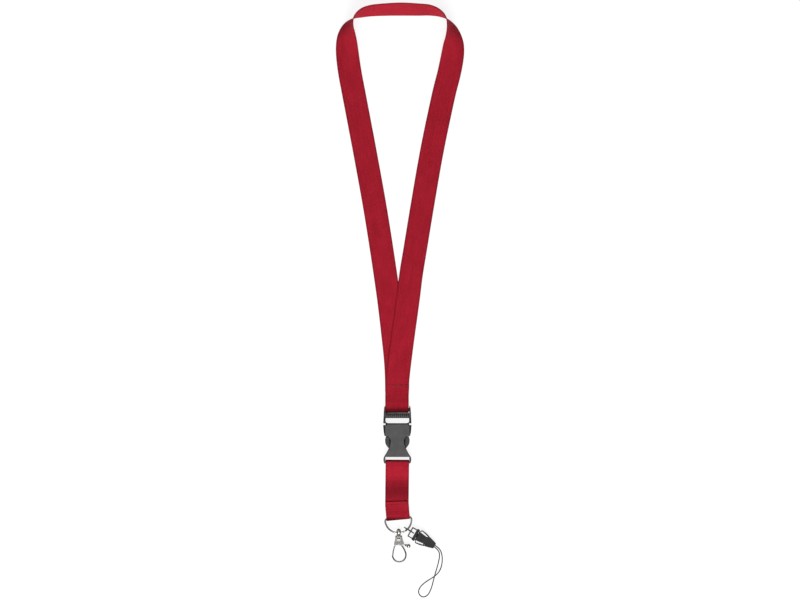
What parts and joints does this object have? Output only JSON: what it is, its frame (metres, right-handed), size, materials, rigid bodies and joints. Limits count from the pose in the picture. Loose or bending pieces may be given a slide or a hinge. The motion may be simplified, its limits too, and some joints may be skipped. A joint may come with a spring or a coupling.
{
  "type": "lanyard",
  "caption": "Flat ribbon neck lanyard with a side-release buckle, sewn lower strap, D-ring, swivel trigger hook and a quick-release phone cord clip.",
  "frame": {"origin": "middle of the side-release buckle's underside, on the surface that the lanyard lies on", "axes": "+Y up the neck strap, +X to the right seen from the front, +Z out of the front face"},
  "size_m": [0.1118, 0.5191, 0.02],
  "materials": {
    "ribbon": "woven polyester ribbon, matt with a soft sheen",
    "thread": "polyester sewing thread",
    "black_plastic": "moulded acetal, fine satin",
    "clip_plastic": "moulded acetal, satin",
    "nickel_wire": "bright nickel-plated wire",
    "dark_wire": "plated spring wire",
    "cast_nickel": "bright nickel-plated casting",
    "pin_steel": "peened steel pin",
    "spring_steel": "spring steel",
    "cord": "braided polyester cord"
  },
  "bodies": {
    "neck": {"neck_strap": "ribbon", "neck_stitches": "thread"},
    "male_half": {"male_buckle": "black_plastic"},
    "left_prong": {"left_prong": "black_plastic"},
    "right_prong": {"right_prong": "black_plastic"},
    "female_half": {"female_buckle": "black_plastic"},
    "lower_loop": {"lower_strap": "ribbon", "lower_stitches": "thread"},
    "ring": {"d_ring": "nickel_wire"},
    "swivel_eye": {"hook_eye": "cast_nickel"},
    "hook": {"hook_body": "cast_nickel", "gate_pin": "pin_steel", "gate_spring": "spring_steel"},
    "gate": {"gate": "cast_nickel"},
    "link": {"split_ring": "dark_wire"},
    "clip_socket": {"phone_clip_socket": "clip_plastic"},
    "clip_plug": {"phone_clip_plug": "clip_plastic", "phone_cord": "cord", "cord_knot": "cord"},
    "left_bow": {"left_bow": "clip_plastic"},
    "right_bow": {"right_bow": "clip_plastic"}
  },
  "joints": [
    {"name": "buckle_tilt", "type": "hinge", "parent": "neck", "child": "male_half", "pos_m": [0, 0.0293, 0.0032], "axis": [1, 0, 0], "range_deg": [-60, 60]},
    {"name": "buckle_release", "type": "slide", "parent": "male_half", "child": "female_half", "axis": [0, -1, 0], "range_m": [0, 0.024], "deforming": ["left_prong", "right_prong"]},
    {"name": "left_prong_squeeze", "type": "hinge", "parent": "male_half", "child": "left_prong", "pos_m": [-0.0085, 0.0142, 0.0032], "axis": [0, 0, 1], "range_deg": [0, 10], "stiffness_Nm_per_rad": 0.4},
    {"name": "right_prong_squeeze", "type": "hinge", "parent": "male_half", "child": "right_prong", "pos_m": [0.0085, 0.0142, 0.0032], "axis": [0, 0, -1], "range_deg": [0, 10], "stiffness_Nm_per_rad": 0.4},
    {"name": "lower_strap_swing", "type": "hinge", "parent": "female_half", "child": "lower_loop", "pos_m": [0, -0.0165, 0.0032], "axis": [-1, 0, 0], "range_deg": [-75, 75]},
    {"name": "d_ring_swing", "type": "hinge", "parent": "lower_loop", "child": "ring", "pos_m": [0.00065, -0.0651, 0.0019], "axis": [0.9956, 0.0941, 0], "range_deg": [-80, 80]},
    {"name": "hook_eye_swing", "type": "hinge", "parent": "ring", "child": "swivel_eye", "pos_m": [0.00115, -0.07815, 0.0032], "axis": [-1, 0, 0], "range_deg": [-70, 70]},
    {"name": "hook_swivel", "type": "hinge", "parent": "swivel_eye", "child": "hook", "pos_m": [0.00115, -0.08213, 0.00281], "axis": [0, -0.9952, -0.0976], "continuous": true},
    {"name": "gate_open", "type": "hinge", "parent": "hook", "child": "gate", "pos_m": [0.00115, -0.08721, 0.00231], "axis": [0, -0.0976, 0.9952], "range_deg": [0, 22], "stiffness_Nm_per_rad": 0.03},
    {"name": "split_ring_swing", "type": "hinge", "parent": "ring", "child": "link", "pos_m": [0.01004, -0.07354, 0.00283], "axis": [0.6036, 0.794, -0.0732], "range_deg": [-30, 30]},
    {"name": "phone_clip_swing", "type": "hinge", "parent": "link", "child": "clip_socket", "pos_m": [0.0114, -0.0772, 0.0023], "axis": [0.506, 0.8625, 0], "range_deg": [-10, 75]},
    {"name": "phone_clip_release", "type": "slide", "parent": "clip_socket", "child": "clip_plug", "axis": [0.8625, -0.506, 0], "range_m": [0, 0.008], "deforming": ["left_bow", "right_bow"]},
    {"name": "left_bow_squeeze", "type": "hinge", "parent": "clip_plug", "child": "left_bow", "pos_m": [0.02718, -0.08153, 0.0023], "axis": [0, 0, 1], "range_deg": [0, 7], "stiffness_Nm_per_rad": 0.1},
    {"name": "right_bow_squeeze", "type": "hinge", "parent": "clip_plug", "child": "right_bow", "pos_m": [0.02288, -0.08886, 0.0023], "axis": [0, 0, -1], "range_deg": [0, 7], "stiffness_Nm_per_rad": 0.1}
  ]
}
